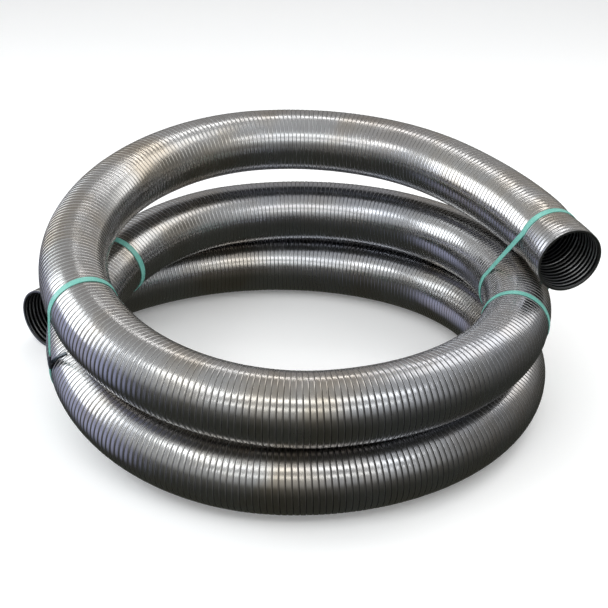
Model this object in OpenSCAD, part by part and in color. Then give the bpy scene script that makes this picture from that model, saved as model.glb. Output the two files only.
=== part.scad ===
// Coiled strip-wound metal hose, two and a half turns, tied with four flat plastic straps.
//
// The hose's centreline is a formula of one angle, in degrees, counted clockwise from above:
// 0 is at the left (-X), 90 at the back (+Y), 180 at the right (+X) and 270 at the front (-Y).
// The hose starts low at the left back, and each full turn adds 360. It is one continuous
// piece, drawn here as stretches that follow each other, so that each one stays a simple solid.
// Its first and last few windings are separate short rings with a hinge between each two.

/* [Hose] */
// Outside diameter over the windings
hose_od = 82; // [78:0.5:83]
// Clear bore
hose_bore = 76.2; // [70:0.1:77]

/* [Coil] */
// Radius of the coil at the hose's centreline
coil_r = 269; // [260:1:300]
// Rise of the middle turn above the lower turn
turn_rise = 85; // [85:1:95]
// Rise of the top turn above the middle turn
top_rise = 107; // [107:1:120]
// Place of the coil's centre, left to right
coil_x = 5.5; // [-40:0.5:40]
// Place of the coil's centre, front to back
coil_y = -4; // [-40:0.5:40]

/* [Climbs] */
// Angle where the lower turn starts to climb
lower_climb_from = 276; // [260:1:290]
// Angle where it has reached the middle level
lower_climb_to = 430; // [420:1:450]
// Angle where the middle turn starts to climb
upper_climb_from = 622; // [610:1:640]
// Angle where it has reached the top level
upper_climb_to = 798; // [780:1:810]

/* [Free ends] */
// Angle where the coiled hose starts and its low end begins
start_angle = 23.5; // [20:0.5:27]
// Angle where the coiled hose stops and its high end begins
end_angle = 901; // [899:0.5:903]
// Angle before which the lower turn opens outwards
open_low_before = 119; // [110:1:130]
// How far it has opened 100 degrees earlier
open_low = 75; // [60:1:85]
// Angle after which the top turn opens outwards
open_high_after = 859; // [855:1:861]
// How far it has opened 100 degrees later
open_high = 215; // [205:1:230]
// Angle after which the top turn comes down
settle_after = 793; // [790:1:800]
// How far it has come down 100 degrees later
settle = 27; // [15:1:27]
// Room between two rings of a free end
flex_gap = 3.3; // [3:0.1:5]
// Length of each short ring of a free end
ring_len = 5; // [4:0.5:7]
// Length of the last ring, which a pipe or a cuff fits
mouth_len = 20; // [15:1:24]

/* [Straps] */
// Width of the strap
strap_w = 8.5; // [5:0.5:9]
// Thickness of the strap
strap_t = 0.8; // [0.5:0.1:1.2]
// Room between the strap and the hose
strap_gap = 0.6; // [0.4:0.1:1]

/* [Seals] */
// Length of a crimped seal along the strap
seal_len = 22; // [15:1:28]
// Thickness of the seal's steel
seal_t = 0.6; // [0.4:0.1:0.8]
// Room between the seal and the strap
seal_gap = 0.2; // [0.1:0.05:0.3]

/* [Hidden] */
hose_r = hose_od / 2;
bore_r = hose_bore / 2;
floor_z = hose_r + strap_gap + strap_t;
facets = 24;
round_fn = 96;
// Largest angle between two rings of points along a stretch
step = 8;
// The lower, middle and top turns: name, first angle, last angle, stretches
TURNS = [
    ["lower_turn", start_angle, 360, 7],
    ["middle_turn", 360, 720, 8],
    ["top_turn", 720, end_angle, 4]
];
// Each strap: name, angle on its upper turn, angle on its lower turn, seal's side, seal's place.
// The side is 1 for the outside of the coil and -1 for the inside. The place runs from 0 at the
// upper turn to 1 at the lower one.
STRAPS = [
    ["left_front", 695, 341, 1, 0.77],
    ["left_back", 387, start_angle + 1.5, 1, 0.5],
    ["right_front", 556, 178, -1, 0.5],
    ["right_back", end_angle - 1, 536, 1, 0.5]
];
RINGS = ["ring_1", "ring_2", "ring_3", "mouth"];
steel = [0.55, 0.54, 0.55];
dark_steel = [0.2, 0.22, 0.27];
teal = [0.47, 0.8, 0.74];

// ---- The hose's centreline ----

function ease(u) = let (c = min(max(u, 0), 1)) c * c * (3 - 2 * c);
function climb(a, from, to) = ease((a - from) / (to - from));
function beyond(a) = pow(max(a, 0) / 100, 2);
function route_r(a) = coil_r
    + open_low * beyond(open_low_before - a)
    + open_high * beyond(a - open_high_after);
function route_z(a) = floor_z
    + turn_rise * climb(a, lower_climb_from, lower_climb_to)
    + top_rise * climb(a, upper_climb_from, upper_climb_to)
    - settle * beyond(a - settle_after);
function route(a) = [coil_x - route_r(a) * cos(a), coil_y + route_r(a) * sin(a), route_z(a)];

function unit(v) = v / norm(v);
function heading(a) = unit(route(a + 0.05) - route(a - 0.05));
// The two directions across the hose: away from the coil's axis, and upwards
function across(along) = unit(cross(along, [0, 0, 1]));
function upward(along) = cross(across(along), along);
function outward(a) = -across(heading(a));
function topward(a) = upward(heading(a));

// ---- Solids swept along a list of closed outlines ----

// The two triangles of a four-cornered face
function halves(a, b, c, d) = [[a, b, c], [a, c, d]];
// Joins each outline of n points to the next, and the last to the first if looped
function skin(rings, n, looped) = [
    for (i = [0 : rings - (looped ? 1 : 2)]) for (j = [0 : n - 1])
        let (k = (j + 1) % n, next = (i + 1) % rings)
            each halves(i * n + j, i * n + k, next * n + k, next * n + j)
];
function turned(faces) = [for (f = faces) [f[2], f[1], f[0]]];
function shifted(faces, by) = [for (f = faces) [for (v = f) v + by]];
// The flat ring between the outer and the inner outline at one end of a tube
function rim(outer, inner, n) = [
    for (j = [0 : n - 1])
        let (k = (j + 1) % n) each halves(outer + k, outer + j, inner + j, inner + k)
];
function circle_at(a, r) = [
    for (j = [0 : facets - 1])
        let (turn = -360 * j / facets)
            route(a) + r * (cos(turn) * outward(a) + sin(turn) * topward(a))
];

module tube_stretch(from, to) {
    n = facets;
    rings = ceil((to - from) / step) + 1;
    angles = [for (i = [0 : rings - 1]) from + (to - from) * i / (rings - 1)];
    inner = rings * n;
    points = concat(
        [for (a = angles) each circle_at(a, hose_r)],
        [for (a = angles) each circle_at(a, bore_r)]
    );
    faces = concat(
        skin(rings, n, false),
        shifted(turned(skin(rings, n, false)), inner),
        rim(0, inner, n),
        turned(rim(inner - n, inner + inner - n, n))
    );
    color(steel) polyhedron(points, faces);
}

module turn_stretch(turn, i) {
    width = (turn[2] - turn[1]) / turn[3];
    tube_stretch(turn[1] + width * (i - 1), turn[1] + width * i);
}

// ---- The two free ends: straight, and jointed between their rings ----

// Stands a child that runs along +Z at the end's root, pointing out along the hose
module at_end(a, way) {
    along = way * heading(a);
    yaw = atan2(along.y, along.x);
    tilt = acos(along.z);
    translate(route(a)) rotate([0, tilt, yaw]) children();
}

module end_ring(a, way, i) {
    start = flex_gap * i + ring_len * (i - 1);
    len = i == len(RINGS) ? mouth_len : ring_len;
    color(steel) at_end(a, way) translate([0, 0, start]) difference() {
        cylinder(h = len, r = hose_r, $fn = round_fn);
        translate([0, 0, -1]) cylinder(h = len + 2, r = bore_r, $fn = round_fn);
    }
}

// ---- Straps and seals ----

// The strap lies on a half circle over its upper turn, runs straight down one side, lies on a
// half circle under its lower turn and runs straight up the other side.
arc_step = 10;
// Each straight run turns slowly from one turn's direction to the other's, in this many steps
run_steps = 8;
function lean(s) = unit(route(s[1]) - route(s[2]));
// Angle, seen along the hose, of the strap's half circle on the turn at angle a
function lean_angle(s, a) = atan2(lean(s) * topward(a), lean(s) * outward(a));
function strap_normal(a, turn) = cos(turn) * outward(a) + sin(turn) * topward(a);
function strap_point(a, turn, r, side) = route(a) + r * strap_normal(a, turn) + side * heading(a);
function strap_section(a, turn) = let (low = hose_r + strap_gap, high = low + strap_t) [
    strap_point(a, turn, low, -strap_w / 2),
    strap_point(a, turn, high, -strap_w / 2),
    strap_point(a, turn, high, strap_w / 2),
    strap_point(a, turn, low, strap_w / 2)
];

// The sections between two others, without those two
function run_between(a, b) = [
    for (i = [1 : run_steps - 1]) [for (k = [0 : 3]) a[k] + (b[k] - a[k]) * i / run_steps]
];
function last(list) = list[len(list) - 1];

module strap(s) {
    over = [for (t = [-90 : arc_step : 90]) strap_section(s[1], lean_angle(s, s[1]) + t)];
    under = [for (t = [90 : arc_step : 270]) strap_section(s[2], lean_angle(s, s[2]) + t)];
    sections = concat(
        over, run_between(last(over), under[0]),
        under, run_between(last(under), over[0])
    );
    color(teal) polyhedron(
        [for (section = sections) each section],
        skin(len(sections), 4, true)
    );
}

// A flat sleeve crimped round a straight run of the strap
module seal(s) {
    turn = -90 * s[3];
    middle = hose_r + strap_gap + strap_t / 2;
    top = strap_point(s[1], lean_angle(s, s[1]) + turn, middle, 0);
    bottom = strap_point(s[2], lean_angle(s, s[2]) + turn, middle, 0);
    along = unit(bottom - top);
    width_way = (1 - s[4]) * heading(s[1]) + s[4] * heading(s[2]);
    normal = unit(cross(along, width_way));
    side = cross(normal, along);
    centre = top + s[4] * (bottom - top);
    inside = [strap_w + 2 * seal_gap, strap_t + 2 * seal_gap, seal_len + 2];
    outside = [inside.x + 2 * seal_t, inside.y + 2 * seal_t, seal_len];
    color(dark_steel) multmatrix([
        [side.x, normal.x, along.x, centre.x],
        [side.y, normal.y, along.y, centre.y],
        [side.z, normal.z, along.z, centre.z],
        [0, 0, 0, 1]
    ]) difference() {
        cube(outside, center = true);
        cube(inside, center = true);
    }
}

for (turn = TURNS) for (i = [1 : turn[3]])
    turn_stretch(turn, i);
for (i = [1 : len(RINGS)]) {
    end_ring(start_angle, -1, i);
    end_ring(end_angle, 1, i);
}
for (s = STRAPS) {
    strap(s);
    seal(s);
}
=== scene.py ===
"""Coiled strip-wound metal hose with bare ends, tied with four flat embossed straps.

The hose is built as it is made: one strip of steel wound into windings that hook into each other.
Its outer and inner surfaces are each one helix swept along the centreline, whose formula is the
CAD part's. Lengths are in millimetres until a mesh is made, and s is the distance along the hose
from the low end's mouth.
"""

import bmesh
import bpy
import numpy as np
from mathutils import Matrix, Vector


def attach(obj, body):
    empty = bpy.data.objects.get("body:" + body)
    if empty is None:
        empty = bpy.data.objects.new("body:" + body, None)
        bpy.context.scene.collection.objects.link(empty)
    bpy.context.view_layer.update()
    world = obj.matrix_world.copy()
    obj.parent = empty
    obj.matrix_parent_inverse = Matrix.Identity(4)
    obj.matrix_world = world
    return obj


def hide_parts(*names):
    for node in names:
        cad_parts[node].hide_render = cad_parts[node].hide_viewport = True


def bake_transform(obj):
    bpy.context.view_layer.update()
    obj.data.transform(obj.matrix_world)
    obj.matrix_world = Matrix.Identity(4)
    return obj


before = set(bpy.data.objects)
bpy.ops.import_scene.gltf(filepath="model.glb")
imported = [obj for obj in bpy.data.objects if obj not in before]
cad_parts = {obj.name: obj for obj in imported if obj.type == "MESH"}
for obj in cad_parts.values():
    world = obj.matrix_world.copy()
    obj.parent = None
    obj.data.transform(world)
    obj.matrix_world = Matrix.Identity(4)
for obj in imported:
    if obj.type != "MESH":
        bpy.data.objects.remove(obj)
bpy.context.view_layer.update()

MM = 0.001
NODES = list(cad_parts)

# ---------------------------------------------------------------- dimensions, as in the CAD part
HOSE_R = 41.0
BORE_R = 38.1
COIL_R = 269.0
TURN_RISE, TOP_RISE = 85.0, 107.0
COIL_X, COIL_Y = 5.5, -4.0
LOWER_CLIMB = (276.0, 430.0)
UPPER_CLIMB = (622.0, 798.0)
START_ANGLE, END_ANGLE = 23.5, 901.0
OPEN_LOW_BEFORE, OPEN_LOW = 119.0, 75.0
OPEN_HIGH_AFTER, OPEN_HIGH = 859.0, 215.0
SETTLE_AFTER, SETTLE = 793.0, 27.0
FLEX_GAP, RING_LEN, MOUTH_LEN = 3.3, 5.0, 20.0
# A free end's rings, from its root to its mouth
RINGS = ["ring_1", "ring_2", "ring_3", "mouth"]
STRAP_W, STRAP_T, STRAP_GAP = 8.5, 0.8, 0.6
SEAL_LEN = 22.0
FLOOR_Z = HOSE_R + STRAP_GAP + STRAP_T
END_LEN = len(RINGS) * FLEX_GAP + (len(RINGS) - 1) * RING_LEN + MOUTH_LEN
# Each strap: angle on its upper turn, angle on its lower turn, seal's side, seal's place
STRAPS = {
    "left_front": (695.0, 341.0, 1, 0.77),
    "left_back": (387.0, START_ANGLE + 1.5, 1, 0.5),
    "right_front": (556.0, 178.0, -1, 0.5),
    "right_back": (END_ANGLE - 1, 536.0, 1, 0.5),
}
# How far each strap squeezes its upper turn. Every lower turn is squeezed by the least of these
SQUEEZE = {"left_front": 0.8, "left_back": 0.5, "right_front": 0.8, "right_back": 2.2}
# Distance along the hose over which a squeeze fades
SQUEEZE_REACH = 22.0

# ---------------------------------------------------------------- the photograph's view
CAMERA_LENS = 75.8
CAMERA_ELEVATION = 27.09
CAMERA_DISTANCE = 1619.7
CAMERA_TARGET = (COIL_X + 8.4, COIL_Y + 26.3, 101.4)
SENSOR_WIDTH = 36
# In metres, beyond the backdrop
FARTHEST_SEEN = 50


def set_camera():
    rise = np.radians(CAMERA_ELEVATION)
    back = Vector((0, -np.cos(rise), np.sin(rise)))
    data = bpy.data.cameras.new("camera")
    data.lens = CAMERA_LENS
    data.sensor_width = SENSOR_WIDTH
    data.clip_end = FARTHEST_SEEN
    camera = bpy.data.objects.new("camera", data)
    camera.location = (Vector(CAMERA_TARGET) + CAMERA_DISTANCE * back) * MM
    camera.rotation_euler = (-back).to_track_quat("-Z", "Y").to_euler()
    bpy.context.scene.collection.objects.link(camera)
    bpy.context.scene.camera = camera


set_camera()

# ---------------------------------------------------------------- the hose's centreline

# Half the angle over which the centreline's direction is measured
HEADING_STEP = 0.05


def ease(u):
    """A smooth rise from 0 to 1 while u goes from 0 to 1."""
    c = np.clip(u, 0, 1)
    return c * c * (3 - 2 * c)


def climb(a, span):
    return ease((a - span[0]) / (span[1] - span[0]))


def beyond(a):
    """The square of the angle a in hundreds of degrees, or 0 if it is negative."""
    return (np.maximum(a, 0) / 100) ** 2


def route(a):
    """The centreline's points at the angles a, in degrees."""
    r = COIL_R + OPEN_LOW * beyond(OPEN_LOW_BEFORE - a) + OPEN_HIGH * beyond(a - OPEN_HIGH_AFTER)
    z = FLOOR_Z + TURN_RISE * climb(a, LOWER_CLIMB) + TOP_RISE * climb(a, UPPER_CLIMB)
    z = z - SETTLE * beyond(a - SETTLE_AFTER)
    turn = np.radians(a)
    return np.stack([COIL_X - r * np.cos(turn), COIL_Y + r * np.sin(turn), z], -1)


def unit(v):
    return v / np.linalg.norm(v, axis=-1, keepdims=True)


def axes_at(a):
    """The hose's direction at the angles a, and the outward and upward directions across it."""
    along = unit(route(a + HEADING_STEP) - route(a - HEADING_STEP))
    across = unit(np.cross(along, [0, 0, 1]))
    return along, -across, np.cross(across, along)


ARC_POINTS = 8001
# The coiled hose's angles, and the distances along it at which they are reached
ANGLES = np.linspace(START_ANGLE, END_ANGLE, ARC_POINTS)
ARC = np.concatenate([[0], np.cumsum(np.linalg.norm(np.diff(route(ANGLES), axis=0), axis=1))])
COIL_END = END_LEN + ARC[-1]
HOSE_LEN = COIL_END + END_LEN


def hose_frame(s):
    """Centre, direction, outward and upward directions at the distances s from the low mouth."""
    s = np.asarray(s, float)
    a = np.interp(s - END_LEN, ARC, ANGLES)
    along, outward, upward = axes_at(a)
    straight = np.minimum(s - END_LEN, 0) + np.maximum(s - COIL_END, 0)
    return route(a) + straight[..., None] * along, along, outward, upward


def along_hose(a):
    """Distance from the low mouth of the point at the angle a."""
    return END_LEN + np.interp(a, ANGLES, ARC)


# Where a strap goes round the hose, and how far it squeezes it there
TIES = [(along_hose(upper), SQUEEZE[name]) for name, (upper, *_) in STRAPS.items()]
TIES += [(along_hose(lower), min(SQUEEZE.values())) for _, lower, _, _ in STRAPS.values()]


def squeeze(s):
    """How much smaller the hose's radius is at the distance s, near a strap."""
    return sum(depth * np.exp(-(((s - at) / SQUEEZE_REACH) ** 2)) for at, depth in TIES)


def hose_point(s, turn, r):
    """Points at the distance s along the hose, the angle turn round it, and r from its centre."""
    centre, _, outward, upward = hose_frame(s)
    across = np.cos(turn)[..., None] * outward + np.sin(turn)[..., None] * upward
    return centre + np.asarray(r)[..., None] * across


# ---------------------------------------------------------------- mesh helpers


def mesh_object(name, points, faces, materials):
    """A mesh object in metres from points in millimetres and an (n, 4) array of faces."""
    data = bpy.data.meshes.new(name)
    data.vertices.add(len(points))
    data.vertices.foreach_set("co", (np.asarray(points) * MM).astype(np.float32).ravel())
    data.loops.add(faces.size)
    data.loops.foreach_set("vertex_index", faces.astype(np.int32).ravel())
    data.polygons.add(len(faces))
    data.polygons.foreach_set("loop_start", np.arange(0, faces.size, 4, dtype=np.int32))
    data.update(calc_edges=True)
    data.polygons.foreach_set("use_smooth", np.ones(len(faces), bool))
    for material in materials:
        data.materials.append(material)
    data.validate()
    piece = bpy.data.objects.new(name, data)
    bpy.context.scene.collection.objects.link(piece)
    return piece


def set_attribute(piece, name, values):
    values = np.asarray(values, np.float32)
    piece.data.attributes.new(name, "FLOAT", "POINT").data.foreach_set("value", values)


def grid_faces(rows, columns, wrap=False):
    """Faces of a grid of points, row after row. If wrapped, the last column joins the first."""
    across = columns if wrap else columns - 1
    r, c = np.meshgrid(np.arange(rows - 1), np.arange(across), indexing="ij")
    n = (c + 1) % columns
    corners = [r * columns + c, r * columns + n, (r + 1) * columns + n, (r + 1) * columns + c]
    return np.stack(corners, -1).reshape(-1, 4)


# ---------------------------------------------------------------- materials

# Linear colours of the hose's outside: clean strip, stains, pits, and painted shade on the grooves'
# walls and in their bottoms
STEEL, BRIGHT_STEEL = (0.44, 0.435, 0.43), (0.53, 0.525, 0.52)
WARM_STAIN, BLUE_STAIN = (0.43, 0.375, 0.3), (0.425, 0.455, 0.54)
PITTED_STEEL = (0.16, 0.14, 0.12)
GROOVE_WALL_SHADE, GROOVE_SHADE = (0.16, 0.155, 0.15), (0.03, 0.029, 0.028)
# The bore's ridges, clean and grimy, and the painted shade in its grooves
RIDGE, GRIMY_RIDGE, BORE_GROOVE_SHADE = (0.46, 0.47, 0.48), (0.28, 0.28, 0.27), (0.012, 0.012, 0.013)
# Strapping, darker and lighter, and where it is rubbed, and the same for a tail painted dark for
# dirt and for shade
TEAL, LIGHT_TEAL, WORN_TEAL = (0.13, 0.41, 0.35), (0.18, 0.49, 0.42), (0.4, 0.68, 0.62)
TAIL_DIRT_AND_SHADE, TAIL_LIGHT_DIRT_AND_SHADE, TAIL_WORN_DIRT_AND_SHADE = (0.03, 0.045, 0.06), (0.06, 0.09, 0.11), (0.1, 0.16, 0.17)
# The seals' coating, where it is scuffed, and the bare steel of their edges
COATING, SCUFF, BARE_EDGE = (0.09, 0.1, 0.12), (0.3, 0.31, 0.33), (0.34, 0.35, 0.37)

# Inputs of a Map Range node: low and high of the value, and what they become
RANGE_INPUTS = (1, 2, 3, 4)
# The two colours of a Mix node: its inputs, and its output
COLOUR_INPUTS = (6, 7)
COLOUR_OUTPUT = 2


class Graph:
    """Short calls that add nodes to a node tree."""

    def __init__(self, tree):
        self.tree = tree

    def node(self, kind, *links, **settings):
        """Adds a node. links are (input, source socket), and settings its properties or inputs."""
        made = self.tree.nodes.new(kind)
        for key, value in settings.items():
            if hasattr(made, key):
                setattr(made, key, value)
            else:
                made.inputs[key.replace("_", " ")].default_value = value
        for key, source in links:
            self.tree.links.new(source, made.inputs[key])
        return made

    def spread(self, value, low, high, out_low=0.0, out_high=1.0):
        """Maps value from low..high to out_low..out_high, clamped."""
        made = self.node("ShaderNodeMapRange", ("Value", value))
        for key, number in zip(RANGE_INPUTS, (low, high, out_low, out_high)):
            made.inputs[key].default_value = number
        return made.outputs[0]

    def mix(self, share, a, b):
        """A colour between a and b, each a colour or a socket."""
        made = self.node("ShaderNodeMix", ("Factor", share), data_type="RGBA")
        for key, value in zip(COLOUR_INPUTS, (a, b)):
            if isinstance(value, tuple):
                made.inputs[key].default_value = (*value, 1)
            else:
                self.tree.links.new(value, made.inputs[key])
        return made.outputs[COLOUR_OUTPUT]


class Shader(Graph):
    """A Principled material, the places and attributes it is painted by, and its looks."""

    def __init__(self, name, **sockets):
        self.material = bpy.data.materials.new(name)
        self.material.use_nodes = True
        super().__init__(self.material.node_tree)
        self.out = self.tree.nodes["Principled BSDF"]
        for key, value in sockets.items():
            self.out.inputs[key.replace("_", " ")].default_value = value

    def place(self):
        """Where a point is on the object, in metres."""
        return self.node("ShaderNodeTexCoord").outputs["Object"]

    def attribute(self, name):
        return self.node("ShaderNodeAttribute", attribute_name=name).outputs["Fac"]

    def noise(self, where, scale, detail=3.0, roughness=0.55):
        return self.node(
            "ShaderNodeTexNoise", ("Vector", where), Scale=scale, Detail=detail, Roughness=roughness
        ).outputs["Fac"]

    def stretched(self, source, scale):
        return self.node("ShaderNodeMapping", ("Vector", source), Scale=scale).outputs[0]

    def higher(self, a, b):
        return self.node("ShaderNodeMath", (0, a), (1, b), operation="MAXIMUM").outputs[0]

    def bump(self, height, distance, strength):
        return self.node(
            "ShaderNodeBump", ("Height", height), Distance=distance, Strength=strength
        ).outputs[0]

    def link(self, source, socket):
        self.tree.links.new(source, self.out.inputs[socket])


def hose_steel():
    """Bare rolled strip: faint marks along it, warm and blue stains, pits, and painted shade on the
    grooves' walls and in their bottoms.
    """
    m = Shader("hose_steel", Metallic=1.0)
    where = m.place()
    strip = m.node("ShaderNodeUVMap", uv_map="strip").outputs[0]
    depth = m.attribute("depth")
    marks = m.noise(m.stretched(strip, (14.0, 420.0, 1.0)), 1.0, 3.0, 0.6)
    stains = m.noise(where, 11.0, 4.0)
    patches = m.noise(where, 3.2, 2.0)
    specks = m.noise(where, 420.0, 2.0, 0.7)
    steel = m.mix(m.spread(marks, 0.3, 0.7), STEEL, BRIGHT_STEEL)
    warm = m.mix(m.spread(stains, 0.44, 0.66, 0.0, 0.8), steel, WARM_STAIN)
    cool = m.mix(m.spread(patches, 0.48, 0.68, 0.0, 0.45), warm, BLUE_STAIN)
    pitted = m.mix(m.spread(specks, 0.64, 0.74, 0.0, 0.5), cool, PITTED_STEEL)
    # Painted shade, by depth: a little on the grooves' walls, nearly black in their bottoms
    wall_shaded = m.mix(m.spread(depth, 0.08, 0.25, 0.0, 0.4), pitted, GROOVE_WALL_SHADE)
    groove_shaded = m.mix(m.spread(depth, 0.3, 0.55, 0.0, 0.92), wall_shaded, GROOVE_SHADE)
    m.link(groove_shaded, "Base Color")
    band_rough = m.spread(m.noise(where, 38.0), 0.3, 0.7, 0.17, 0.28)
    groove_rough = m.spread(depth, 0.06, 0.2, 0.15, 0.5)
    m.link(m.higher(band_rough, groove_rough), "Roughness")
    m.link(m.bump(marks, 0.00001, 0.35), "Normal")
    return m.material


def bore_steel():
    """The hose's inside: the same strip, rougher and grimy in patches, with painted shade darkening
    its grooves nearly to black, so its ridges stand out bright.
    """
    m = Shader("bore_steel", Metallic=1.0)
    where = m.place()
    depth = m.attribute("depth")
    grime = m.noise(where, 30.0, 4.0)
    bare = m.mix(m.spread(grime, 0.35, 0.7), RIDGE, GRIMY_RIDGE)
    # Painted shade: the bore's grooves are darkened nearly to black by depth
    m.link(m.mix(m.spread(depth, 0.3, 0.8), bare, BORE_GROOVE_SHADE), "Base Color")
    m.link(m.spread(grime, 0.3, 0.7, 0.28, 0.45), "Roughness")
    return m.material


def strap_plastic(name, dark, light, worn):
    """Polypropylene strapping: softly glossy, slightly uneven, rubbed lighter in fine specks."""
    m = Shader(name, Specular_IOR_Level=0.5)
    where = m.place()
    cloudy = m.noise(where, 60.0, 3.0)
    fine = m.noise(where, 900.0, 2.0)
    base = m.mix(m.spread(cloudy, 0.35, 0.65), dark, light)
    m.link(m.mix(m.spread(fine, 0.55, 0.75, 0.0, 0.4), base, worn), "Base Color")
    m.link(m.spread(fine, 0.3, 0.7, 0.24, 0.36), "Roughness")
    m.link(m.bump(fine, 0.00003, 0.4), "Normal")
    return m.material


def seal_steel():
    """Dark coated steel of the crimped seals, bare on its worn spots."""
    m = Shader("seal_steel", Metallic=0.85)
    where = m.place()
    wear = m.noise(where, 260.0, 4.0, 0.65)
    edge = m.attribute("edge")
    coated = m.mix(m.spread(wear, 0.52, 0.72), COATING, SCUFF)
    m.link(m.mix(edge, coated, BARE_EDGE), "Base Color")
    m.link(m.spread(wear, 0.3, 0.7, 0.28, 0.48), "Roughness")
    m.link(m.bump(wear, 0.00006, 0.5), "Normal")
    return m.material


HOSE, BORE, SEAL = hose_steel(), bore_steel(), seal_steel()
STRAP = strap_plastic("strap_plastic", TEAL, LIGHT_TEAL, WORN_TEAL)
# The long tail's plastic, painted dark for dirt and for shade
DIRT_AND_SHADE_STRAP = strap_plastic("dirt_and_shade_strap", TAIL_DIRT_AND_SHADE, TAIL_LIGHT_DIRT_AND_SHADE, TAIL_WORN_DIRT_AND_SHADE)

# ---------------------------------------------------------------- the hose

# Points round the outside and round the bore for each winding
AROUND = 48
BORE_AROUND = 32
# The windings are about this far apart, so that a whole number of them fills the hose
PITCH_ABOUT = 6.2
WINDINGS = round(HOSE_LEN / PITCH_ABOUT)
PITCH = HOSE_LEN / WINDINGS
# Width of the strip's flat band, outside and in the bore. It stays the same in a bend, which opens
# the grooves on its outer side and closes them on its inner side
BAND = 5.15
BORE_BAND = 3.4
# Limits of the groove's share of the pitch
LEAST_GROOVE, MOST_GROOVE = 0.12, 0.5
# Share of the pitch at which a groove shows its whole depth, and the part of it that a closed one
# keeps
OPEN_GROOVE = 0.24
CLOSED_DEPTH = 0.5
# The bore's grooves are the deepest. A point as deep as this has a depth attribute of 1
DEEP = 1.2
# Across one winding: share of the groove passed, share of the band passed, depth below the crest.
# The low step in the middle of the band is where the hooked edge beneath shows through
OUTER = [
    (0, 0, 0.8), (0.26, 0, 0.8), (0.4, 0, 0.34), (1, 0, 0.16), (1, 0.03, 0.02), (1, 0.09, 0),
    (1, 0.48, 0), (1, 0.53, 0.05), (1, 0.91, 0.05), (1, 0.97, 0.07), (1, 0.999, 0.2),
]
# The same for the bore, with depths outside the clear bore
INNER = [(0, 0, DEEP), (0.8, 0, DEEP), (1, 0.2, 0), (1, 0.8, 0)]
# Points less deep than this belong to the band
BAND_DEPTH = 0.3
# The windings fade out over this length before a mouth, which is cut straight
RIM_LEN = 2.0
# The hose's surfaces start a winding early and end late, and are cut to length afterwards. This is
# the first winding's number, and how many there are beyond the hose's own
FIRST_WINDING, MORE_WINDINGS = -1, 4
# Each winding is a little higher or lower, and tips a little, as real ones do
LIFT_SPREAD, TIP_SPREAD = 0.03, 0.04
rng = np.random.default_rng(7)
LIFT = rng.normal(0, LIFT_SPREAD, WINDINGS + MORE_WINDINGS)
TIP = rng.normal(0, TIP_SPREAD, WINDINGS + MORE_WINDINGS)
# Distance to each side of a point at which the hose's bend is measured
BEND_STEP = 4.0


def groove_share(winding, turn, r, band):
    """The groove's share of the pitch at the angle turn round the hose, from how the hose bends."""
    middle = PITCH * (winding + 0.5)
    _, _, outward, upward = hose_frame(middle)
    bend = (hose_frame(middle + BEND_STEP)[1] - hose_frame(middle - BEND_STEP)[1]) / (2 * BEND_STEP)
    across = np.cos(turn)[:, None] * outward + np.sin(turn)[:, None] * upward
    stretch = 1 - r * np.sum(across * bend, axis=1)
    return np.clip(1 - band / (PITCH * stretch), LEAST_GROOVE, MOST_GROOVE)


def winding_surface(first, last, profile, crest_r, band, sign, around):
    """Points, faces, depth and strip coordinates of one surface from winding first to winding last.
    The profile's depths go inwards for the outside, with sign -1, and outwards for the bore."""
    rows = len(profile)
    winding = np.arange(first * around, (last + 1) * around + 1) / around
    in_groove, in_band, depth = np.array(profile, float).T
    groove = groove_share(winding, 2 * np.pi * winding, crest_r, band)[:, None]
    share = in_groove * groove + in_band * (1 - groove)
    s = PITCH * (winding[:, None] + share)
    turn = np.broadcast_to(2 * np.pi * winding[:, None], s.shape)
    near_cut = ease(np.minimum(s, HOSE_LEN - s) / RIM_LEN)
    opened = CLOSED_DEPTH + (1 - CLOSED_DEPTH) * groove / OPEN_GROOVE
    below = depth * near_cut * np.clip(opened, 0, 1)
    number = np.arange(len(LIFT)) + FIRST_WINDING
    lift, tip = (np.interp(winding, number, values)[:, None] for values in (LIFT, TIP))
    wobble = (lift + tip * (share - 0.5)) * (depth < BAND_DEPTH)
    r = crest_r - squeeze(s) + sign * (below - wobble * near_cut)
    points = hose_point(s, turn, r).reshape(-1, 3)
    i, k = np.meshgrid(np.arange(len(winding) - 1 - around), np.arange(rows), indexing="ij")
    here = i * rows + k
    # A row's last point joins the first one of the row a whole winding further on
    across = np.where(k + 1 < rows, here + 1, (i + around) * rows)
    corners = [here, here + rows, across + rows, across]
    faces = np.stack(corners if sign < 0 else corners[::-1], -1).reshape(-1, 4)
    strip = np.stack([turn * crest_r * MM, s * MM], -1).reshape(-1, 2)
    return points, faces, np.clip(below / DEEP, 0, 1).ravel(), strip


def joined(surfaces):
    """Several surfaces as one, without unused points, and the number of faces of each."""
    points, faces, others, counts, total = [], [], [], [], 0
    for surface in surfaces:
        used = np.unique(surface[1])
        new = np.zeros(len(surface[0]), int)
        new[used] = np.arange(len(used)) + total
        total += len(used)
        points.append(surface[0][used])
        faces.append(new[surface[1]])
        others.append([o[used] for o in surface[2:]])
        counts.append(len(surface[1]))
    return [np.concatenate(v) for v in (points, faces, *zip(*others))], counts


def hose_piece(name, surfaces, materials):
    """A piece of hose made of one or both of its surfaces, with a material for each."""
    (points, faces, depth, strip), counts = joined(surfaces)
    piece = mesh_object(name, points, faces, materials)
    slots = np.repeat(np.arange(len(counts)), counts)
    piece.data.polygons.foreach_set("material_index", slots.astype(np.int32))
    set_attribute(piece, "depth", depth)
    layer = piece.data.uv_layers.new(name="strip")
    corner = np.zeros(len(piece.data.loops), np.int32)
    piece.data.loops.foreach_get("vertex_index", corner)
    layer.data.foreach_set("uv", strip[corner].astype(np.float32).ravel())
    return piece


def outside(first, last):
    return winding_surface(first, last, OUTER, HOSE_R, BAND, -1, AROUND)


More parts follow.
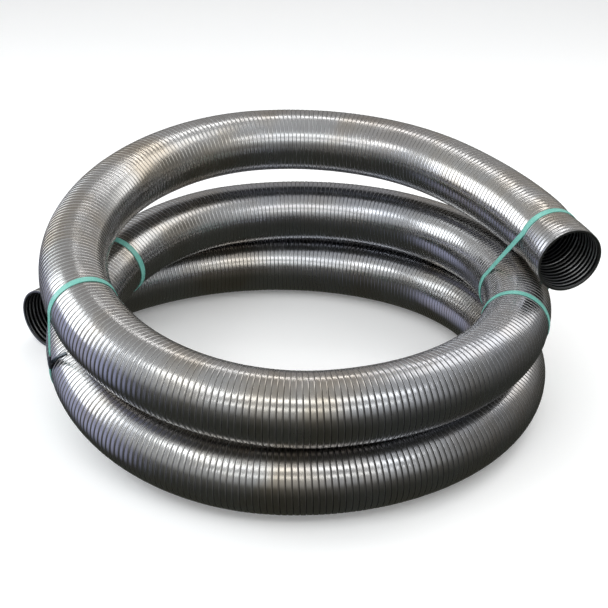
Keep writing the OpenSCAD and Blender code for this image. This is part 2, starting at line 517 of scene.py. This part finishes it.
def bore(first, last, around):
    return winding_surface(first, last, INNER, BORE_R, BORE_BAND, 1, around)


def cut(piece, at, keep_beyond):
    """Cuts a straight end's piece across at the distance at, and keeps one side."""
    centre, along, _, _ = hose_frame(at)
    b = bmesh.new()
    b.from_mesh(piece.data)
    bmesh.ops.bisect_plane(
        b,
        geom=b.verts[:] + b.edges[:] + b.faces[:],
        dist=1e-7,
        plane_co=centre * MM,
        plane_no=along,
        clear_inner=keep_beyond,
        clear_outer=not keep_beyond,
    )
    b.to_mesh(piece.data)
    b.free()


# The saw cut's small round edges, how far it reaches into the mouth, and how much of the bore's
# painted groove shade it takes, evenly all over
CUT_ROUND = 0.25
CUT_STEP, CUT_DEEP = 0.12, 0.6
CUT_DARKENING = 0.55


def rim(name, at, way):
    """The saw cut at a mouth: a flat ring with small round edges, from the bore to the outside."""
    turn = np.linspace(0, 2 * np.pi, AROUND * 2, endpoint=False)
    outer, inner = HOSE_R - CUT_ROUND, BORE_R + CUT_ROUND
    # Radius and distance inside the mouth of each of the section's points
    section = [
        (BORE_R, CUT_DEEP), (BORE_R, CUT_STEP), (inner, 0), (outer, 0), (HOSE_R, CUT_STEP),
        (HOSE_R, CUT_DEEP),
    ]
    rings = [
        hose_point(np.full_like(turn, at - way * inside), turn, np.full_like(turn, r))
        for r, inside in section
    ]
    points = np.concatenate(rings)
    faces = grid_faces(len(section), len(turn), wrap=True)
    piece = mesh_object(name, points, faces if way < 0 else faces[:, ::-1], [BORE])
    # The whole cut face takes part of the bore's painted groove shade
    set_attribute(piece, "depth", np.full(len(points), CUT_DARKENING))
    return piece


# Windings that a free end's pieces are cut from
END_WINDINGS = int(np.ceil(END_LEN / PITCH)) + 1
# Pieces that the coiled hose's outside is cut into, and the windings where they meet
COIL_PIECES = 4
coil_marks = np.linspace(END_WINDINGS, WINDINGS - END_WINDINGS, COIL_PIECES + 1).round().astype(int)
# The coiled hose's bore is one piece
bore_wall = hose_piece("hose_bore_wall", [bore(coil_marks[0], coil_marks[-1], BORE_AROUND)], [BORE])
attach(bore_wall, "coil")
for i in range(COIL_PIECES):
    part = hose_piece(f"hose_coil_{i + 1}", [outside(coil_marks[i], coil_marks[i + 1])], [HOSE])
    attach(part, "coil")


def hinge_at(i):
    """Distance from a free end's root to its hinge number i, from 0."""
    return FLEX_GAP * (i + 0.5) + RING_LEN * i


def free_end(which, way):
    """A free end's four pieces. Each runs from the middle of one body to the middle of the next."""
    root, mouth = (END_LEN, 0.0) if way < 0 else (COIL_END, HOSE_LEN)
    windings = (WINDINGS - END_WINDINGS, WINDINGS + 1) if way > 0 else (FIRST_WINDING, END_WINDINGS)
    bodies = ["coil"] + [f"{which}_end_{ring}" for ring in RINGS]
    half = (FLEX_GAP + RING_LEN) / 2
    for i, ring in enumerate(RINGS):
        surfaces = [outside(*windings), bore(*windings, AROUND)]
        part = hose_piece(f"hose_{which}_end_{ring}", surfaces, [HOSE, BORE])
        near = root + way * (hinge_at(i) - half)
        far = root + way * (hinge_at(i) + half)
        if i > 0:
            cut(part, near, way > 0)
        cut(part, mouth if ring == "mouth" else far, way < 0)
        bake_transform(part)
    edge = rim(f"hose_{which}_end_rim", mouth, way)
    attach(edge, bodies[-1])


free_end("low", -1)
free_end("high", 1)

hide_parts(*[n for n in NODES if "turn" in n or "end" in n])

# ---------------------------------------------------------------- straps

# The diamonds pressed into the strap: how far apart, how deep, and how steep their sides are
EMBOSS_PITCH = 1.5
EMBOSS_DEPTH = 0.12
EMBOSS_SLOPE = 1.6
# A ribbon's mesh: distance between its rows, points across it, and the width and drop of its edges
RIBBON_STEP = 0.55
RIBBON_COLUMNS = 13
EDGE_WIDTH, EDGE_DROP = 0.35, 0.2
# Degrees round the hose between two points of a strap's route
WRAP_STEP = 4.0
# Room between a strap's lower face and the hose's windings: it lies closer than the solid one does
LIE = 0.15


def strap_turn(s, a):
    """Angle round the hose at a, in degrees, of the strap's direction from turn to turn."""
    upper, lower, _, _ = s
    lean = unit(route(np.array(upper)) - route(np.array(lower)))
    _, outward, upward = axes_at(a)
    return np.degrees(np.arctan2(lean @ upward, lean @ outward))


def over_hose(a, turn, above):
    """Points, normals and the hose's directions at the height above its surface at the angle a."""
    a = np.asarray(a, float)
    along, outward, upward = axes_at(a)
    turn = np.radians(turn)[..., None]
    normals = np.cos(turn) * outward + np.sin(turn) * upward
    r = HOSE_R - squeeze(along_hose(a)) + above
    points = route(a) + r[..., None] * normals
    return points, normals, np.broadcast_to(along, points.shape)


def strap_route(s):
    """Points on the lower face, outward normals and widthwise directions round a strap's loop."""
    upper, lower, _, _ = s
    turn = np.arange(0, 180 + WRAP_STEP, WRAP_STEP)
    over = over_hose(upper, strap_turn(s, upper) - 90 + turn, LIE)
    under = over_hose(lower, strap_turn(s, lower) + 90 + turn, LIE)
    return [np.concatenate(both) for both in zip(over, under)]


def resampled(step, closed, *lists):
    """Distances at even steps along the first list of points, and every list's values there."""
    if closed:
        lists = [np.vstack([v, v[:1]]) for v in lists]
    lengths = np.linalg.norm(np.diff(lists[0], axis=0), axis=1)
    far = np.concatenate([[0], np.cumsum(lengths)])
    n = int(far[-1] / step)
    at = np.linspace(0, far[-1], n + 1)[: n if closed else n + 1]
    return [at] + [np.stack([np.interp(at, far, v[:, i]) for i in range(3)], -1) for v in lists]


def emboss(along, across):
    """Height of the strapping's diamond pattern, from 0 to 1."""
    u = (along + across) / EMBOSS_PITCH
    v = (along - across) / EMBOSS_PITCH
    ridge = np.minimum(np.abs(u % 1 - 0.5), np.abs(v % 1 - 0.5)) * 2
    return np.clip(ridge * EMBOSS_SLOPE, 0, 1)


def ribbon(name, line, normals, across, width, thick, closed, material):
    """A flat embossed strap along a line on its lower face."""
    at, line, normals, across = resampled(RIBBON_STEP, closed, line, normals, across)
    normals, across = unit(normals), unit(across)
    side = np.linspace(-width / 2, width / 2, RIBBON_COLUMNS)
    # 0 at the very edge and 1 from EDGE_WIDTH inwards
    flat = np.clip((width / 2 - np.abs(side)) / EDGE_WIDTH, 0, 1)
    height = emboss(at[:, None], side) * EMBOSS_DEPTH * (flat == 1)
    top = thick - EMBOSS_DEPTH + height - EDGE_DROP * (1 - flat)
    rise = np.concatenate([top, np.zeros_like(top)], 1)[..., None]
    place = np.concatenate([side, side[::-1]])[:, None]
    points = line[:, None] + rise * normals[:, None] + place * across[:, None]
    if not closed:
        # The upper and lower faces meet at the two cut ends
        first, last = ((row + row[:, ::-1]) / 2 for row in (points[:1], points[-1:]))
        points = np.concatenate([first, points, last])
    rows, count = points.shape[:2]
    faces = grid_faces(rows + closed, count, wrap=True) % (rows * count)
    return mesh_object(name, points.reshape(-1, 3), faces, [material])


def strap(name, s):
    """A strap's loop, over its upper turn and under its lower one."""
    points, normals, along = strap_route(s)
    made = ribbon(f"strap_band_{name}", points, normals, along, STRAP_W, STRAP_T, True, STRAP)
    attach(made, "coil")
    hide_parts(f"strap_{name}")


# Half width and half height of a seal's outside and inside
SEAL_OUTSIDE, SEAL_INSIDE = (5.1, 1.45), (4.55, 0.95)
# Where a seal is crimped along its length, how far each crimp reaches, how much narrower it makes
# the seal and how much thicker, and how much of that shows on the inside
CRIMPS = (-6.0, 0.0, 6.0)
CRIMP_REACH = 1.3
CRIMP_NARROWS, CRIMP_THICKENS = 0.55, 0.3
CRIMP_INSIDE = 0.4
# A seal thickens only beyond this share of its half width
CRIMP_FROM = 0.6
# The seal's mouths open a little over their last millimetre, and are worn over the last 0.4 mm
FLARE, FLARE_LEN = 0.12, 1.0
WORN_LEN = 0.4
# Power that turns a circle into a rounded rectangle
SEAL_SQUARE = 0.35
# A seal's mesh: rings of points along it, and points in each
SEAL_STATIONS, SEAL_AROUND = 61, 40


def seal_axes(s):
    """Centre of a seal, and its directions along the strap, across it and away from the coil."""
    upper, lower, side, place = s
    (top, outward, top_way), (bottom, _, bottom_way) = (
        over_hose(a, strap_turn(s, a) - 90 * side, LIE + STRAP_T / 2) for a in (upper, lower)
    )
    down = unit(bottom - top)
    normal = unit(np.cross(down, (1 - place) * top_way + place * bottom_way))
    normal = normal * np.sign(normal @ outward)
    return top + place * (bottom - top), down, np.cross(normal, down), normal


def seal(name, s):
    """A flat sleeve round the strap, its edges pinched by the crimping tool at three places."""
    centre, down, across, normal = seal_axes(s)
    z = np.linspace(-SEAL_LEN / 2, SEAL_LEN / 2, SEAL_STATIONS)[:, None]
    pinch = sum(np.exp(-(((z - c) / CRIMP_REACH) ** 2)) for c in CRIMPS)
    from_end = SEAL_LEN / 2 - np.abs(z)
    flare = FLARE * np.clip(1 - from_end / FLARE_LEN, 0, 1) ** 2
    turn = np.linspace(0, 2 * np.pi, SEAL_AROUND, endpoint=False)
    side, face = (np.sign(f) * np.abs(f) ** SEAL_SQUARE for f in (np.cos(turn), np.sin(turn)))
    walls = []
    for (half_width, half_height), share in ((SEAL_OUTSIDE, 1.0), (SEAL_INSIDE, CRIMP_INSIDE)):
        wide = half_width - CRIMP_NARROWS * share * pinch + flare
        high = half_height + CRIMP_THICKENS * share * pinch * (np.abs(side) > CRIMP_FROM) + flare
        x, y = (side * wide)[..., None], (face * high)[..., None]
        walls.append(centre + x * across + y * normal + z[..., None] * down)
    # Down the outside and back up the inside
    points = np.concatenate([walls[0], walls[1][::-1]])
    faces = grid_faces(len(points) + 1, SEAL_AROUND, wrap=True) % (len(points) * SEAL_AROUND)
    made = mesh_object(f"strap_seal_{name}", points.reshape(-1, 3), faces, [SEAL])
    worn = np.clip(1 - from_end / WORN_LEN, 0, 1)
    set_attribute(made, "edge", np.repeat(np.concatenate([worn, worn[::-1]]), SEAL_AROUND))
    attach(made, "coil")
    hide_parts(f"seal_{name}")


# Length of a tail outside its seal, and inside it
TAIL_LEN, TAIL_HELD = 12.0, 4.0
# Its height above the strap, and how far its end stands off
TAIL_ABOVE, TAIL_STANDS_OFF = 0.1, 1.6
# How much narrower and thinner than its strap it is
TAIL_TRIM, TAIL_THIN = 0.4, 0.3
TAIL_POINTS = 9
# The left front strap's tail is longer, painted dark for dirt and for shade, and lies over the
# lower turn's shoulder. It is folded along its middle, so it is narrower than the strap
LONG_TAIL = "left_front"
LONG_TAIL_FROM, LONG_TAIL_TO = (341.0, 20.0), (338.6, 58.0)
LONG_TAIL_ABOVE = 1.1
LONG_TAIL_POINTS = 12
FOLDED_W = 4.6


def tail(name, s):
    """The strap's cut end, which comes out of its seal on top of the strap."""
    centre, down, across, normal = seal_axes(s)
    above = STRAP_T / 2 + TAIL_ABOVE
    far = np.linspace(0, 1, TAIL_POINTS)[:, None]
    mouth = SEAL_LEN / 2 - TAIL_HELD
    held = centre + above * normal - down * mouth * (0.5 + 0.5 * far)
    if name == LONG_TAIL:
        angles, turns = np.linspace(LONG_TAIL_FROM, LONG_TAIL_TO, LONG_TAIL_POINTS).T
        over = [over_hose(a, turn, LONG_TAIL_ABOVE) for a, turn in zip(angles, turns)]
        points = np.vstack([held, [o[0] for o in over]])
        normals = np.vstack([np.tile(normal, (TAIL_POINTS, 1)), [o[1] for o in over]])
        ways = np.vstack([np.tile(across, (TAIL_POINTS, 1)), [o[2] for o in over]])
        ways = ways * np.sign(ways @ across)[:, None]
        # This tail is painted dark, for dirt and for shade
        width, material = FOLDED_W, DIRT_AND_SHADE_STRAP
    else:
        out = centre - down * (mouth + (TAIL_LEN + TAIL_HELD) * far)
        points = np.vstack([held[:-1], out + (above + TAIL_STANDS_OFF * far**2) * normal])
        normals, ways = (np.tile(v, (len(points), 1)) for v in (normal, across))
        width, material = STRAP_W - TAIL_TRIM, STRAP
    thick = STRAP_T - TAIL_THIN
    made = ribbon(f"strap_tail_{name}", points, normals, ways, width, thick, False, material)
    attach(made, "coil")


for name, s in STRAPS.items():
    strap(name, s)
    seal(name, s)
    tail(name, s)

# ---------------------------------------------------------------- studio

# In metres: the flat floor's radius, and the radius of the curve that rises from its edge
FLOOR_RADIUS, CURVE_RADIUS = 5, 3
# The floor's mesh: rings of points on its flat part and on its curve, and points in each
FLOOR_RINGS, CURVE_RINGS, FLOOR_AROUND = 12, 16, 64
# Angle of the curve's first ring of points, in radians
CURVE_FROM = 0.1
# Where the lights shine, in metres. The right one shines on the coil's right front
COIL_MIDDLE = (0, 0, 0.12)
RIGHT_FRONT = (0.24, -0.15, 0.17)
# The floor's colour, and how much it glows, so that it is white in the picture
FLOOR_PAINT = (0.93, 0.93, 0.93, 1)
WHITE = (1, 1, 1, 1)
FLOOR_GLOW = 0.13
# What the steel reflects: directions in the room and the linear colours seen there
UP, BEHIND, RIGHT, LOW_LEFT = (0, 0, 1), (0, 0.9, 0.43), (0.97, 0, 0.25), (-0.96, 0.25, -0.1)
ROOM, ROOM_BEHIND, ROOM_RIGHT = (0.57, 0.58, 0.585), (0.41, 0.4, 0.395), (0.22, 0.22, 0.21)
GROUND_BELOW, GROUND_AROUND = (0.045, 0.047, 0.04), (0.12, 0.118, 0.108)
BLUE_GLOW = (0.55, 0.58, 0.82)


def floor_stage():
    """A pale floor that curves up all round into a backdrop."""
    m = Shader(
        "studio", Base_Color=FLOOR_PAINT, Roughness=0.9, Specular_IOR_Level=0.2,
        Emission_Color=WHITE, Emission_Strength=FLOOR_GLOW,
    )
    flat = np.linspace(0, FLOOR_RADIUS, FLOOR_RINGS)
    curve = np.linspace(CURVE_FROM, np.pi / 2, CURVE_RINGS)
    radii = np.concatenate([flat, FLOOR_RADIUS + CURVE_RADIUS * np.sin(curve)])[:, None]
    heights = np.concatenate([0 * flat, CURVE_RADIUS * (1 - np.cos(curve))])[:, None]
    turn = np.linspace(0, 2 * np.pi, FLOOR_AROUND, endpoint=False)
    points = np.stack([radii * np.cos(turn), radii * np.sin(turn), heights + 0 * turn], -1)
    faces = grid_faces(len(radii), FLOOR_AROUND, wrap=True)
    floor = mesh_object("floor", points.reshape(-1, 3) / MM, faces, [m.material])
    floor.visible_glossy = False


def soft_light(name, place, size, radiance, colour, target=COIL_MIDDLE, reflected=True):
    """A rectangular light of the given radiance, seen at most where it is reflected."""
    data = bpy.data.lights.new(name, "AREA")
    data.shape = "RECTANGLE"
    data.size, data.size_y = size
    data.energy = radiance * np.pi * size[0] * size[1]
    data.color = colour
    light = bpy.data.objects.new(name, data)
    light.location = place
    light.rotation_euler = (Vector(target) - Vector(place)).to_track_quat("-Z", "Y").to_euler()
    light.visible_camera = False
    light.visible_glossy = reflected
    bpy.context.scene.collection.objects.link(light)


def surroundings():
    """A grey room above a dark floor, darker on the right, with a blue glow low on the left."""
    world = bpy.data.worlds.new("world")
    world.use_nodes = True
    graph = Graph(world.node_tree)
    where = graph.node("ShaderNodeTexCoord").outputs["Generated"]

    def toward(direction, low, high):
        """How far the view goes along the direction: 0 at low and less, 1 at high and more."""
        dot = graph.node("ShaderNodeVectorMath", (0, where), operation="DOT_PRODUCT")
        dot.inputs[1].default_value = direction
        return graph.spread(dot.outputs["Value"], low, high)

    upper = graph.mix(toward(BEHIND, 0.6, 0.9), ROOM, ROOM_BEHIND)
    upper = graph.mix(toward(RIGHT, 0.78, 0.96), upper, ROOM_RIGHT)
    lower = graph.mix(toward(UP, -0.5, -0.05), GROUND_BELOW, GROUND_AROUND)
    around = graph.mix(toward(UP, -0.06, 0.22), lower, upper)
    around = graph.mix(toward(LOW_LEFT, 0.8, 0.97), around, BLUE_GLOW)
    graph.tree.links.new(around, graph.tree.nodes["Background"].inputs["Color"])
    bpy.context.scene.world = world


def set_light():
    """The room, and its lights: name, place, size, radiance and colour."""
    surroundings()
    soft_light("key", (0.0, -1.05, 1.22), (2.2, 0.25), 2.6, (0.98, 1.0, 1.0))
    soft_light("low_key", (0.0, -1.6, 0.9), (2.4, 0.2), 2.0, (0.98, 1.0, 0.98))
    soft_light("left_key", (-1.02, -0.7, 1.37), (0.5, 0.3), 4.5, (0.97, 1.0, 1.0))
    soft_light("back", (0.12, 0.72, 1.2), (1.0, 0.12), 4.0, (1.0, 1.0, 1.0))
    soft_light("window", (-1.6, 0.34, 0.84), (1.0, 1.05), 3.3, (0.91, 0.96, 1.0))
    soft_light("right_key", (1.03, 0.53, 1.2), (0.6, 1.65), 1.7, (1.0, 0.99, 0.97), RIGHT_FRONT)
    soft_light("ceiling", (0.0, 0.0, 2.6), (4.0, 4.0), 0.66, (1.0, 1.0, 1.0), reflected=False)
    bpy.context.scene.view_settings.view_transform = "Standard"


floor_stage()
set_light()
